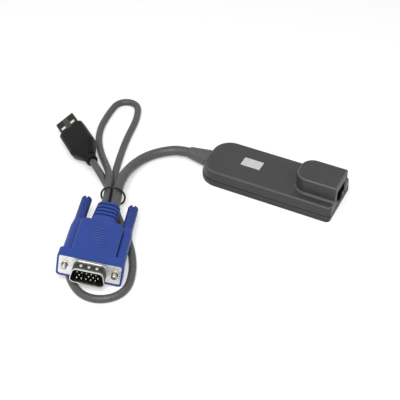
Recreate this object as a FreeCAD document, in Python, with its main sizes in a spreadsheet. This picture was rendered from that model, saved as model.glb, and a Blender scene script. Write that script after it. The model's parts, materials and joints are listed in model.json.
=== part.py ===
import FreeCAD, Part
import math
import os

import Sketcher
from FreeCAD import Placement, Rotation, Vector

# KVM dongle: a flat housing with a raised network jack, a video plug on a thick lead and a USB plug on
# a thin lead that is folded twice and held by a tie. Millimetres, +Z up. The origin is the middle of
# the housing's underside, and +X runs along the housing towards the network jack.

doc = FreeCAD.newDocument("kvm_dongle")
X_WAY, Y_WAY, Z_WAY = Vector(1, 0, 0), Vector(0, 1, 0), Vector(0, 0, 1)
NEAR = 0.02

# ---------------------------------------------------------------- driving dimensions
DIMENSIONS = {
    # housing: half lengths and widths, heights of the underside, parting line, lid and jack block
    "pod_tail": 38.2, "pod_nose": 40.15, "pod_side": 15.9, "parting": 3.4, "lid_top": 9.1, "block_top": 18.6,
    "slope": 1.7, "tail_round": 11.5, "nose_round": 2.5, "wall": 1.5, "floor": 1.1, "lid": 1.2,
    "foot_bevel": 0.4, "seam": 0.5, "ledge": 0.35,
    "block_start": 16.0, "block_side": 9.1, "block_round": 7.0, "block_wall": 0.95,
    "badge_x": -11.9, "badge_y": 1.4, "badge_half": 5.8, "badge_side": 3.5, "badge_deep": 0.25,
    # circuit board and what stands on it
    "board_under": 1.8, "board_over": 3.4, "board_side": 12.6, "board_tail": 33.2, "board_nose": 38.3,
    "screw_tail": -24.2, "screw_nose": 12.5, "post": 2.7, "screw_hole": 1.25, "pilot": 1.0,
    "head_sink": 1.0, "head_hole": 2.1, "head": 1.9, "shank": 0.95, "screw_top": 6.0,
    # network jack: a face as wide as the socket frame, a mouth and a latch slot
    "jack_side": 7.6, "jack_over": 16.5, "jack_back": 21.7, "jack_face": 40.0, "mouth_side": 5.9,
    "mouth_under": 6.7, "mouth_over": 13.5, "mouth_deep": 15.0, "latch_side": 3.1, "latch_under": 4.7,
    "contact_pitch": 1.016, "contact_wide": 0.45, "contact_thick": 0.35,
    # lead exits
    "lead_height": 4.55, "boot_tip": 49.7, "boot_seat": 44.0, "boot_base": 5.2, "boot_base_high": 3.25,
    "boot_end": 3.3, "boot_end_high": 3.15, "neck_end": 34.85, "flange_thick": 1.3, "flange": 6.4,
    # leads: radii, and the tie round them
    "video_lead": 2.8, "usb_lead": 2.0, "lead_fit": 0.05, "tie_middle": 6.4, "tie_round": 0.55,
    # video plug, in its own frame: x across, y back along the plug from the mating plate, z up
    "video_x": -48.6, "video_y": -108.95, "video_z": 10.0, "video_turn": 19.2, "video_tip": -1.5,
    "video_roll": 9.0, "plate_side": 15.4, "plate_high": 6.25, "plate": 0.8, "plate_round": 1.2,
    "collar_side": 16.3, "collar_high": 7.15, "collar_front": 0.3, "collar_back": 5.0,
    "grip_side": 10.9, "grip_high": 6.9, "grip_back": 29.5, "grip_round": 3.0,
    "tube_x": 12.4, "tube": 3.5, "tube_back": 27.0, "tube_end": 32.5, "tube_mouth": 2.85,
    "relief_side": 7.2, "relief_high": 5.4, "relief_end": 6.1, "relief_end_high": 4.3,
    "relief_back": 46.0, "rib_first": 34.6, "rib_pitch": 2.9, "rib_gap": 1.2, "rib_deep": 0.85,
    "entry_x": 2.65, "entry_z": 0.2, "entry_deep": 1.5, "channel": 1.8,
    "shell_wide": 9.0, "shell_high": 4.6, "shell_lean": 10.0, "shell_deep": 5.8, "shell_wall": 0.4,
    "shell_round": 2.6, "pin": 0.38, "pin_pitch": 2.29, "pin_row": 1.98, "pin_front": -5.0,
    "insulator_back": 6.0, "tub": 0.5, "core_side": 9.5, "core_high": 5.1, "core_back": 22.0,
    "screw_x": 12.4, "screw_thread": 1.42, "screw_shaft": 1.2, "screw_front": -2.4, "screw_back": 41.0,
    "knob": 2.75, "knob_front": 32.8, "knob_back": 50.0, "knob_slot": 1.0, "knob_slot_deep": 1.6,
    # USB plug, in its own frame: x across, y forward from the shell's root, z up
    "usb_x": -117.7, "usb_y": -15.35, "usb_z": 6.55, "usb_turn": 52.0, "usb_tip": -3.0, "usb_roll": -28.0,
    "usb_side": 7.8, "usb_high": 4.0, "usb_round": 2.4, "usb_body": 18.5, "usb_taper": 28.0,
    "usb_neck": 3.1, "usb_back": 32.5, "usb_seat": 30.5, "usb_shell_side": 6.0, "usb_shell_high": 2.25,
    "usb_shell_long": 12.0, "usb_shell_in": 7.5, "usb_shell_wall": 0.3, "usb_core": 16.0,
    "window_x": 3.2, "window_y": 5.2, "window_side": 1.4, "window_long": 1.3,
}

sheet = doc.addObject("Spreadsheet::Sheet", "dims")
for row, (name, number) in enumerate(DIMENSIONS.items(), start=1):
    sheet.set(f"A{row}", name)
    sheet.set(f"B{row}", str(number))
    sheet.setAlias(f"B{row}", name)
doc.recompute()


def value(expression):
    """The number that an expression on the sheet gives now."""
    return float(sheet.evalExpression(expression))


def minus(expression):
    return f"-({expression})"


# ---------------------------------------------------------------- sketches and features
def new_body(label):
    body = doc.addObject("PartDesign::Body", label)
    body.Label = label
    return body


def origin_plane(body, role):
    return next(item for item in body.Origin.OriginFeatures if item.Role == role)


def sketch_on(body, role, offset="0", shift="0"):
    """A sketch on one of the body's own planes, moved along its normal and along its first axis."""
    sketch = body.newObject("Sketcher::SketchObject", body.Label + "_sketch")
    sketch.AttachmentSupport = [(origin_plane(body, role), "")]
    sketch.MapMode = "FlatFace"
    sketch.setExpression("AttachmentOffset.Base.z", offset)
    sketch.setExpression("AttachmentOffset.Base.x", shift)
    return sketch


def across(body, y):
    """A sketch in the plane at this y; its own axes are X and Z."""
    return sketch_on(body, "XZ_Plane", minus(y))


def bind(sketch, kind, expression, *places):
    index = sketch.addConstraint(Sketcher.Constraint(kind, *places, value(expression)))
    sketch.renameConstraint(index, f"size{index}")
    sketch.setExpression(f"Constraints.size{index}", expression)


def polygon(sketch, corners):
    """A closed straight-sided outline whose corners are pairs of sheet expressions."""
    first, count = sketch.GeometryCount, len(corners)
    spots = [Vector(value(x), value(y), 0) for x, y in corners]
    for i in range(count):
        sketch.addGeometry(Part.LineSegment(spots[i], spots[(i + 1) % count]))
    for i, (x, y) in enumerate(corners):
        sketch.addConstraint(Sketcher.Constraint("Coincident", first + i, 1, first + (i - 1) % count, 2))
        bind(sketch, "DistanceX", x, -1, 1, first + i, 1)
        bind(sketch, "DistanceY", y, -1, 1, first + i, 1)


def soft_polygon(sketch, corners, radius):
    """The same outline with every corner rounded, hung on a construction outline of its corners."""
    first, count = sketch.GeometryCount, len(corners)
    polygon(sketch, corners)
    for i in range(count):
        sketch.setConstruction(first + i, True)
    spots = [Vector(value(x), value(y), 0) for x, y in corners]
    size, drawn = value(radius), sketch.GeometryCount
    ends = []
    for i, spot in enumerate(spots):
        back, on = (spots[i - 1] - spot).normalize(), (spots[(i + 1) % count] - spot).normalize()
        half = back.getAngle(on) / 2
        ends.append((spot + back * (size / math.tan(half)), spot + on * (size / math.tan(half)),
                     spot + (back + on).normalize() * (size / math.sin(half))))
    for i in range(count):
        sketch.addGeometry(Part.LineSegment(ends[i][1], ends[(i + 1) % count][0]))
        start, end, middle = ends[(i + 1) % count]
        angles = [math.atan2(p.y - middle.y, p.x - middle.x) for p in (start, end)]
        sketch.addGeometry(Part.ArcOfCircle(Part.Circle(middle, Z_WAY, size), *angles))
    for i in range(count):
        line, arc, following = (drawn + (2 * i + step) % (2 * count) for step in (0, 1, 2))
        sketch.addConstraint(Sketcher.Constraint("Tangent", line, 2, arc, 1))
        sketch.addConstraint(Sketcher.Constraint("Tangent", arc, 2, following, 1))
        sketch.addConstraint(Sketcher.Constraint("PointOnObject", line, 1, first + i))
        sketch.addConstraint(Sketcher.Constraint("PointOnObject", line, 2, first + i))
        bind(sketch, "Radius", radius, arc)


def rectangle(sketch, left, right, low, high):
    polygon(sketch, [(left, low), (right, low), (right, high), (left, high)])


def rounded(sketch, left, right, low, high, left_round, right_round):
    """A rectangle with one corner radius at its left and another at its right."""
    x0, x1, y0, y1 = (value(e) for e in (left, right, low, high))
    a, b = value(left_round), value(right_round)
    first, turn = sketch.GeometryCount, math.pi / 2

    def corner(x, y, radius, start):
        circle_of = Part.Circle(Vector(x, y, 0), Z_WAY, radius)
        sketch.addGeometry(Part.ArcOfCircle(circle_of, start, start + turn))

    def side(*ends):
        sketch.addGeometry(Part.LineSegment(*(Vector(x, y, 0) for x, y in ends)))

    side((x0 + a, y0), (x1 - b, y0))
    corner(x1 - b, y0 + b, b, 3 * turn)
    side((x1, y0 + b), (x1, y1 - b))
    corner(x1 - b, y1 - b, b, 0)
    side((x1 - b, y1), (x0 + a, y1))
    corner(x0 + a, y1 - a, a, turn)
    side((x0, y1 - a), (x0, y0 + a))
    corner(x0 + a, y0 + a, a, 2 * turn)
    for i in range(8):
        sketch.addConstraint(Sketcher.Constraint("Tangent", first + i, 2, first + (i + 1) % 8, 1))
    for i, way in ((0, "Horizontal"), (2, "Vertical"), (4, "Horizontal"), (6, "Vertical")):
        sketch.addConstraint(Sketcher.Constraint(way, first + i))
    bind(sketch, "DistanceY", low, -1, 1, first, 1)
    bind(sketch, "DistanceX", right, -1, 1, first + 2, 1)
    bind(sketch, "DistanceY", high, -1, 1, first + 4, 1)
    bind(sketch, "DistanceX", left, -1, 1, first + 6, 1)
    for i, radius in ((1, right_round), (3, right_round), (5, left_round), (7, left_round)):
        bind(sketch, "Radius", radius, first + i)


def mirrored(sketch, side, high, radius, middle="0"):
    """A rounded rectangle about the plane's middle, which may stand higher."""
    rounded(sketch, minus(side), side, f"{middle}-({high})", f"{middle}+{high}", radius, radius)


def circle(sketch, x, y, radius):
    first = sketch.GeometryCount
    sketch.addGeometry(Part.Circle(Vector(value(x), value(y), 0), Z_WAY, value(radius)))
    bind(sketch, "DistanceX", x, -1, 1, first, 3)
    bind(sketch, "DistanceY", y, -1, 1, first, 3)
    bind(sketch, "Radius", radius, first)


def extrude(kind, sketch, length, back=False):
    body = sketch.getParentGeoFeatureGroup()
    feature = body.newObject(f"PartDesign::{kind}", f"{body.Label}_{kind.lower()}")
    feature.Profile = sketch
    feature.setExpression("Length", length)
    feature.Reversed = back
    return feature


def pad(sketch, length, back=False):
    return extrude("Pad", sketch, length, back)


def pocket(sketch, length, back=False):
    """A cut, which has to take something away."""
    body = sketch.getParentGeoFeatureGroup()
    doc.recompute()
    before = body.Shape.Volume
    feature = extrude("Pocket", sketch, length, back)
    doc.recompute()
    if not body.Shape.Volume < before - 1e-4:
        raise RuntimeError(f"{feature.Label} of {body.Label} cuts nothing")
    return feature


def loft(kind, sketches):
    body = sketches[0].getParentGeoFeatureGroup()
    feature = body.newObject(f"PartDesign::{kind}", f"{body.Label}_loft")
    feature.Profile = sketches[0]
    feature.Sections = sketches[1:]
    feature.Ruled = True
    return feature


def dress(body, kind, amount, wanted):
    """A fillet or a chamfer on the edges that the test picks."""
    doc.recompute()
    base = body.Tip
    edges = [f"Edge{i}" for i, edge in enumerate(base.Shape.Edges, start=1) if wanted(edge)]
    if not edges:
        raise RuntimeError(f"no edge for the {kind} of {body.Label}")
    feature = body.newObject(f"PartDesign::{kind}", f"{body.Label}_{kind.lower()}")
    feature.Base = (base, edges)
    feature.setExpression("Radius" if kind == "Fillet" else "Size", amount)
    doc.recompute()
    if not feature.isValid():
        raise RuntimeError(f"the {kind} of {body.Label} failed")
    return feature


def pattern(feature, body, role, length, count):
    """The feature repeated evenly along one of the body's own axes."""
    repeat = body.newObject("PartDesign::LinearPattern", f"{body.Label}_row")
    repeat.Originals = [feature]
    repeat.Direction = (origin_plane(body, role), [""])
    repeat.setExpression("Length", length)
    repeat.Occurrences = count
    body.Tip = repeat
    return repeat


def within(edge, x=None, y=None, z=None):
    """Whether an edge lies inside the given spans of coordinates."""
    box = edge.BoundBox
    spans = ((x, box.XMin, box.XMax), (y, box.YMin, box.YMax), (z, box.ZMin, box.ZMax))
    return all(s is None or (low > s[0] - NEAR and high < s[1] + NEAR) for s, low, high in spans)


def at(number):
    return (number, number)


def runs_along(edge, way):
    if not isinstance(edge.Curve, Part.Line):
        return False
    return abs(abs(edge.tangentAt(edge.FirstParameter).dot(way)) - 1) < 1e-6


# ---------------------------------------------------------------- the housing
def lower_cover():
    """A shallow tray with a bevelled foot, board rests and two screw posts."""
    body = new_body("lower_cover")
    foot = sketch_on(body, "XY_Plane")
    rounded(foot, "-dims.pod_tail", "dims.pod_nose", "-dims.pod_side", "dims.pod_side",
            "dims.tail_round", "dims.nose_round")
    pad(foot, "dims.parting")
    dress(body, "Chamfer", "dims.foot_bevel", lambda e: within(e, z=at(0)))
    dress(body, "Chamfer", "dims.seam", lambda e: within(e, z=at(value("dims.parting"))))
    tray = sketch_on(body, "XY_Plane", "dims.parting")
    rounded(tray, "-dims.pod_tail+dims.wall", "dims.pod_nose-dims.wall", "-dims.pod_side+dims.wall",
            "dims.pod_side-dims.wall", "dims.tail_round-dims.wall", "dims.nose_round-dims.wall")
    pocket(tray, "dims.parting-dims.floor")
    rests = sketch_on(body, "XY_Plane", "dims.floor/2")
    for x in ("dims.screw_tail", "dims.screw_nose"):
        circle(rests, x, "0", "dims.post")
    for x in ("-dims.board_tail+7", "dims.board_nose-3"):
        for y in ("dims.board_side-2", "-dims.board_side+2"):
            circle(rests, x, y, "dims.post/2")
    pad(rests, "dims.board_under-dims.floor/2")
    sinks = sketch_on(body, "XY_Plane")
    holes = sketch_on(body, "XY_Plane")
    for x in ("dims.screw_tail", "dims.screw_nose"):
        circle(sinks, x, "0", "dims.head_hole")
        circle(holes, x, "0", "dims.screw_hole")
    pocket(sinks, "dims.head_sink", back=True)
    pocket(holes, "dims.board_under", back=True)
    mouth = sketch_on(body, "YZ_Plane", "-dims.pod_tail-1")
    mirrored(mouth, "dims.boot_base+0.03", "dims.boot_base_high+0.03", "2.4", "dims.lead_height")
    pocket(mouth, "dims.wall+2", back=True)
    return body


def upper_cover():
    """A lid with leaning sides, and a hollow block over the network jack at its nose."""
    body = new_body("upper_cover")
    sections = []
    for z, inset, nose in (("dims.parting", "dims.seam+dims.ledge", "dims.seam"),
                           ("dims.parting+dims.seam", "dims.ledge", "0"),
                           ("dims.lid_top-0.6", "dims.slope-0.3", "0"), ("dims.lid_top-0.2", "dims.slope", "0.2"),
                           ("dims.lid_top", "dims.slope+0.6", "0.6")):
        ring = sketch_on(body, "XY_Plane", z)
        rounded(ring, f"-dims.pod_tail+{inset}", f"dims.pod_nose-{nose}", f"-dims.pod_side+{inset}",
                f"dims.pod_side-({inset})", f"dims.tail_round-({inset})", f"dims.nose_round-{nose}")
        sections.append(ring)
    loft("AdditiveLoft", sections)
    block = sketch_on(body, "XY_Plane", "dims.lid_top-dims.lid")
    rounded(block, "dims.block_start", "dims.pod_nose", "-dims.block_side", "dims.block_side",
            "dims.block_round", "0.6")
    pad(block, "dims.block_top-dims.lid_top+dims.lid")
    dress(body, "Fillet", "1.0", lambda e: within(e, z=at(value("dims.block_top"))))
    skirt = []
    for rise, out in (("-0.3", "1.1"), ("0.3", "0.4"), ("1.1", "0.01")):
        ring = sketch_on(body, "XY_Plane", f"dims.lid_top+{rise}")
        rounded(ring, f"dims.block_start-{out}", "dims.pod_nose", f"-dims.block_side-{out}",
                f"dims.block_side+{out}", f"dims.block_round+{out}", "0.6")
        skirt.append(ring)
    loft("AdditiveLoft", skirt)
    hollow = sketch_on(body, "XY_Plane", "dims.parting")
    rounded(hollow, "-dims.pod_tail+dims.wall", "dims.pod_nose-dims.wall", "-dims.pod_side+dims.wall",
            "dims.pod_side-dims.wall", "dims.tail_round-dims.wall", "dims.nose_round-dims.wall")
    roof = sketch_on(body, "XY_Plane", "dims.lid_top-dims.lid")
    rounded(roof, "-dims.pod_tail+dims.slope+dims.wall", "dims.pod_nose-dims.wall",
            "-dims.pod_side+dims.slope+dims.wall", "dims.pod_side-dims.slope-dims.wall",
            "dims.tail_round-dims.slope-dims.wall", "dims.nose_round-dims.wall")
    loft("SubtractiveLoft", [hollow, roof])
    room = sketch_on(body, "XY_Plane", "dims.lid_top-dims.lid-1")
    rounded(room, "dims.block_start+dims.block_wall", "dims.pod_nose-dims.wall",
            "-dims.block_side+dims.block_wall", "dims.block_side-dims.block_wall",
            "dims.block_round-dims.block_wall", "0.5")
    pocket(room, "dims.block_top-dims.lid_top+1", back=True)
    window = sketch_on(body, "YZ_Plane", "dims.pod_nose")
    rectangle(window, "-dims.jack_side-0.1", "dims.jack_side+0.1", "dims.parting-1", "dims.jack_over+0.1")
    pocket(window, "dims.wall+0.5")
    mouth = sketch_on(body, "YZ_Plane", "-dims.pod_tail-1")
    mirrored(mouth, "dims.boot_base+0.03", "dims.boot_base_high+0.03", "2.4", "dims.lead_height")
    pocket(mouth, "dims.wall+dims.slope+1.5", back=True)
    posts = sketch_on(body, "XY_Plane", "dims.board_over")
    for x in ("dims.screw_tail", "dims.screw_nose"):
        circle(posts, x, "0", "dims.post")
    pad(posts, "dims.lid_top-dims.lid/2-dims.board_over")
    pilots = sketch_on(body, "XY_Plane", "dims.board_over")
    for x in ("dims.screw_tail", "dims.screw_nose"):
        circle(pilots, x, "0", "dims.pilot")
    pocket(pilots, "dims.screw_top-dims.board_over+0.4", back=True)
    badge = sketch_on(body, "XY_Plane", "dims.lid_top")
    rounded(badge, "dims.badge_x-dims.badge_half", "dims.badge_x+dims.badge_half",
            "dims.badge_y-dims.badge_side", "dims.badge_y+dims.badge_side", "0.4", "0.4")
    pocket(badge, "dims.badge_deep")
    return body


def circuit_board():
    body = new_body("circuit_board")
    plan = sketch_on(body, "XY_Plane", "dims.board_under")
    rounded(plan, "-dims.board_tail", "dims.board_nose", "-dims.board_side", "dims.board_side", "6", "0.8")
    for x in ("dims.screw_tail", "dims.screw_nose"):
        circle(plan, x, "0", "dims.screw_hole")
    pad(plan, "dims.board_over-dims.board_under")
    return body


def chip(label, x, y, half, side, high, leads, four_sides=False):
    """A flat package on the board, with a row of square-cut leads along two or four sides."""
    body = new_body(label)
    block = sketch_on(body, "XY_Plane", "dims.board_over+0.1")
    rectangle(block, f"{x}-{half}", f"{x}+{half}", f"{y}-{side}", f"{y}+{side}")
    pad(block, f"{high}-0.1")
    ways = (("X_Axis", half, side),) + ((("Y_Axis", side, half),) if four_sides else ())
    for way, run, reach in ways:
        first, out = run - 0.9, reach + 0.8
        strip = sketch_on(body, "XY_Plane", "dims.board_over")
        if way == "X_Axis":
            rectangle(strip, f"{x}-{first}-0.17", f"{x}-{first}+0.17", f"{y}-{out}", f"{y}+{out}")
        else:
            rectangle(strip, f"{x}-{out}", f"{x}+{out}", f"{y}-{first}-0.17", f"{y}-{first}+0.17")
        pattern(pad(strip, "0.35"), body, way, str(2 * first), leads)
    return body


def crystal():
    body = new_body("crystal")
    can = sketch_on(body, "XY_Plane", "dims.board_over")
    rounded(can, "-21.5", "-17.3", "3.6", "10.6", "1.9", "1.9")
    pad(can, "2.6")
    dress(body, "Fillet", "0.4", lambda e: e.BoundBox.ZMin > value("dims.board_over") + 2.5)
    return body


def board_capacitors():
    """Small ceramic blocks, each soldered by itself, as one group."""
    blocks = []
    for x, y, turned in ((-14.5, 9.4, 0), (-12, 9.4, 0), (-9.5, 9.4, 0), (-2.4, 10.2, 0), (0.6, 10.2, 0),
                         (3.6, 10.2, 0), (-18, -10.4, 0), (-15, -10.4, 0), (8, 10, 1), (8, -10, 1)):
        block = doc.addObject("Part::Box", "capacitor")
        block.Length, block.Width, block.Height = (1.25, 2.0, 0.9) if turned == 0 else (2.0, 1.25, 0.9)
        block.Placement.Base = Vector(x, y - 1, value("dims.board_over"))
        blocks.append(block)
    group = doc.addObject("Part::Compound", "board_capacitors")
    group.Label = "board_capacitors"
    group.Links = blocks
    return group


def network_jack():
    """An 8-way socket: a block with a mouth, a stepped latch slot under it and a comb over it."""
    body = new_body("network_jack")
    block = sketch_on(body, "YZ_Plane", "dims.jack_back")
    rectangle(block, "-dims.jack_side", "dims.jack_side", "dims.board_over", "dims.jack_over")
    pad(block, "dims.jack_face-dims.jack_back")
    for side, low, high, deep in (("dims.mouth_side", "dims.mouth_under", "dims.mouth_over", "dims.mouth_deep"),
                                  ("dims.latch_side", "dims.latch_under", "dims.mouth_under+0.1", "11"),
                                  ("dims.latch_side*0.6", "dims.latch_under-0.7", "dims.latch_under+0.1", "9")):
        mouth = sketch_on(body, "YZ_Plane", "dims.jack_face")
        rectangle(mouth, minus(side), side, low, high)
        pocket(mouth, deep)
    comb = sketch_on(body, "YZ_Plane", "dims.jack_face-2.4")
    rectangle(comb, "-4.3", "4.3", "dims.mouth_over-0.1", "dims.mouth_over+1.6")
    pocket(comb, "14")
    return body


def jack_contacts():
    """Eight sprung wires that come from the comb over the mouth and lean back down into it."""
    thick, wide = value("dims.contact_thick"), value("dims.contact_wide")
    high = value("dims.mouth_over") + 1.2
    bend = value("dims.jack_face") - 4.2
    profile = [(24.5, high), (bend, high), (bend - 7.2, high - 3.4)]
    wires = []
    for i in range(8):
        y = (i - 3.5) * value("dims.contact_pitch") - wide / 2
        (x0, z0), (x1, z1), (x2, z2) = profile
        face = Part.Face(Part.makePolygon([
            Vector(x0, y, z0), Vector(x1 + thick, y, z1), Vector(x2 + 0.3, y, z2 - thick), Vector(x2, y, z2),
            Vector(x1 - 0.6, y, z1 - thick), Vector(x0, y, z0 - thick), Vector(x0, y, z0)]))
        wires.append(face.extrude(Vector(0, wide, 0)))
    return feature_of("jack_contacts", Part.makeCompound(wires))


def feature_of(label, shape, placement=None):
    feature = doc.addObject("Part::Feature", label)
    feature.Label = label
    feature.Shape = shape
    if placement:
        feature.Placement = placement
    return feature


def wire_header():
    body = new_body("wire_header")
    block = sketch_on(body, "XY_Plane", "dims.board_over")
    rectangle(block, "-32.2", "-29.1", "-7", "7")
    pad(block, "2.6")
    slot = sketch_on(body, "YZ_Plane", "-32.2")
    rectangle(slot, "-6.2", "6.2", "dims.board_over+0.5", "dims.board_over+2.1")
    pocket(slot, "1.2", back=True)
    return body


def header_wires():
    """Seven fine wires that fan out from the lead's end to the header's slot."""
    wires = []
    start_x = -value("dims.neck_end") + value("dims.flange_thick")
    for i in range(7):
        y = (i - 3) * 1.1
        start = Vector(start_x, y, value("dims.lead_height") + 0.3)
        turn = Vector(start_x + 0.6, y, value("dims.lead_height") + 0.3)
        end = Vector(-31.4, y * 1.6, value("dims.board_over") + 1.3)
        wires.append(tube([start, turn, end], 0.4))
    return feature_of("header_wires", Part.makeCompound(wires))


def cover_screws():
    """Two screws from below, each with a flat head and a drive slot."""
    screws = []
    for x in (value("dims.screw_tail"), value("dims.screw_nose")):
        head_top = value("dims.head_sink")
        shank = Part.makeCylinder(value("dims.shank"), value("dims.screw_top") - head_top, Vector(x, 0, head_top))
        head = Part.makeCylinder(value("dims.head"), head_top - 0.15, Vector(x, 0, 0.15))
        slot = Part.makeBox(2.6, 0.5, 0.4, Vector(x - 1.3, -0.25, 0.15))
        screws.append(head.fuse(shank).cut(slot))
    return feature_of("cover_screws", Part.makeCompound(screws))


def housing_boot():
    """The sleeve where the thick lead leaves: a tapered boot, a neck through the wall and a flange."""
    body = new_body("housing_boot")
    base = sketch_on(body, "YZ_Plane", "-dims.pod_tail")
    mirrored(base, "dims.boot_base", "dims.boot_base_high", "2.4", "dims.lead_height")
    tip = sketch_on(body, "YZ_Plane", "-dims.boot_tip")
    mirrored(tip, "dims.boot_end", "dims.boot_end_high", "3.1", "dims.lead_height")
    loft("AdditiveLoft", [base, tip])
    neck = sketch_on(body, "YZ_Plane", "-dims.pod_tail")
    mirrored(neck, "dims.boot_base", "dims.boot_base_high", "2.4", "dims.lead_height")
    pad(neck, "dims.pod_tail-dims.neck_end")
    flange = sketch_on(body, "YZ_Plane", "-dims.neck_end")
    mirrored(flange, "dims.flange", "dims.boot_base_high", "1", "dims.lead_height")
    pad(flange, "dims.flange_thick")
    bore = sketch_on(body, "YZ_Plane", "-dims.boot_tip")
    circle(bore, "0", "dims.lead_height", "dims.video_lead+dims.lead_fit")
    pocket(bore, "dims.boot_tip-dims.boot_seat", back=True)
    return body


# ---------------------------------------------------------------- the leads
# Points of each lead's route, straight runs joined by tangent arcs.
VIDEO_ROUTE = [
    (-44.0, 0.0, 4.55), (-54.8, 0.0, 4.55), (-64.2, -4.8, 3.5), (-70.7, -13.4, 3.5), (-72.7, -24.7, 4.8),
    (-71.5, -37.0, 7.2), (-68.0, -48.6, 9.05), (-63.258, -58.805, 8.417), (-60.726, -66.074, 8.618),
]
USB_ROUTE = [
    (-65.677, -67.775, 9.447), (-68.142, -60.695, 9.251), (-72.9, -49.8, 8.6), (-78.2, -40.4, 8.1),
    (-86.1, -31.4, 5.4), (-95.0, -21.9, 2.7), (-103.3, -11.5, 2.03), (-108.5, -0.6, 2.03),
    (-110.7, 9.7, 2.03), (-111.8, 17.6, 2.03), (-112.1, 23.9, 2.03), (-110.2, 27.8, 2.03),
    (-106.6, 29.9, 2.03), (-102.4, 29.8, 2.03), (-98.9, 27.4, 2.03), (-95.8, 21.6, 2.03),
    (-92.8, 12.8, 2.03), (-90.5, 1.6, 2.03), (-87.5, -9.7, 2.03), (-83.8, -21.2, 2.03),
    (-79.9, -32.2, 2.1), (-74.9, -41.3, 2.6), (-68.7, -48.4, 3.5), (-64.1, -59.0, 3.5),
    (-57.7, -65.2, 2.3), (-50.8, -71.4, 2.03), (-43.9, -78.5, 2.03), (-38.0, -86.2, 2.03),
    (-33.3, -94.5, 2.03), (-30.1, -104.3, 2.03), (-32.0, -112.0, 2.03), (-38.5, -117.7, 2.03),
    (-46.7, -118.9, 2.03), (-54.3, -115.6, 2.03), (-61.1, -109.7, 2.03), (-65.3, -100.5, 2.03),
    (-68.0, -90.3, 2.03), (-68.7, -79.9, 2.03), (-67.8, -70.1, 2.6), (-68.2, -60.5, 4.1),
    (-72.8, -49.4, 4.35), (-79.1, -43.5, 4.25), (-87.403, -39.02, 8.565), (-93.699, -34.102, 8.146),
]
ARC_SHARE = 0.45


def tube_path(points):
    """Straight runs joined by arcs that take a fixed share of the shorter run; and the arcs' radii."""
    edges, radii = [], []
    here = points[0]
    for before, corner, after in zip(points, points[1:], points[2:]):
        back, on = before - corner, after - corner
        reach = ARC_SHARE * min(back.Length, on.Length)
        back.normalize()
        on.normalize()
        turn = math.pi - back.getAngle(on)
        radius = reach / math.tan(turn / 2)
        inward = (back + on).normalize()
        middle = corner + inward * (math.hypot(radius, reach) - radius)
        start, end = corner + back * reach, corner + on * reach
        edges.append(Part.LineSegment(here, start).toShape())
        edges.append(Part.Arc(start, middle, end).toShape())
        radii.append(radius)
        here = end
    edges.append(Part.LineSegment(here, points[-1]).toShape())
    return Part.Wire(edges), radii


def tube(points, radius):
    path, _ = tube_path(points)
    section = Part.Wire(Part.makeCircle(radius, points[0], points[1] - points[0]))
    return path.makePipeShell([section], True, False)


def lead(label, route, radius):
    points = [Vector(*point) for point in route]
    path, radii = tube_path(points)
    shape = tube(points, radius)
    ratio = shape.Volume / (math.pi * radius ** 2 * path.Length)
    if abs(ratio - 1) > 0.01:
        raise RuntimeError(f"{label} has {ratio:.3f} of its section times its length")
    print(label, f"{path.Length:.1f} mm long, arc radii", [round(r, 1) for r in radii])
    return feature_of(label, shape)


def cable_tie():
    """A thin ring that stands round the four passes of lead behind the video plug."""
    tie = doc.addObject("Part::Torus", "cable_tie")
    tie.Label = "cable_tie"
    tie.setExpression("Radius1", "dims.tie_middle")
    tie.setExpression("Radius2", "dims.tie_round")
    turn = math.radians(value("dims.video_turn"))
    along = Vector(-math.sin(turn), math.cos(turn), 0)
    sideways = Vector(math.cos(turn), math.sin(turn), 0)
    plug = Vector(value("dims.video_x"), value("dims.video_y"), 0)
    middle = plug + along * 58.0 - sideways * 0.2 + Vector(0, 0, value("dims.tie_middle+dims.tie_round"))
    tie.Placement = Placement(middle, Rotation(Z_WAY, along))
    return tie


# ---------------------------------------------------------------- the video plug
def plug_place(prefix):
    turn, tip, roll = (value(f"dims.{prefix}_{name}") for name in ("turn", "tip", "roll"))
    spin = Rotation(Z_WAY, turn) * Rotation(X_WAY, tip) * Rotation(Y_WAY, roll)
    return Placement(Vector(*(value(f"dims.{prefix}_{axis}") for axis in "xyz")), spin)


def revolve(sketch):
    body = sketch.getParentGeoFeatureGroup()
    feature = body.newObject("PartDesign::Revolution", f"{body.Label}_turned")
    feature.Profile = sketch
    feature.ReferenceAxis = (sketch, ["V_Axis"])
    feature.Angle = 360
    return feature


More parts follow.
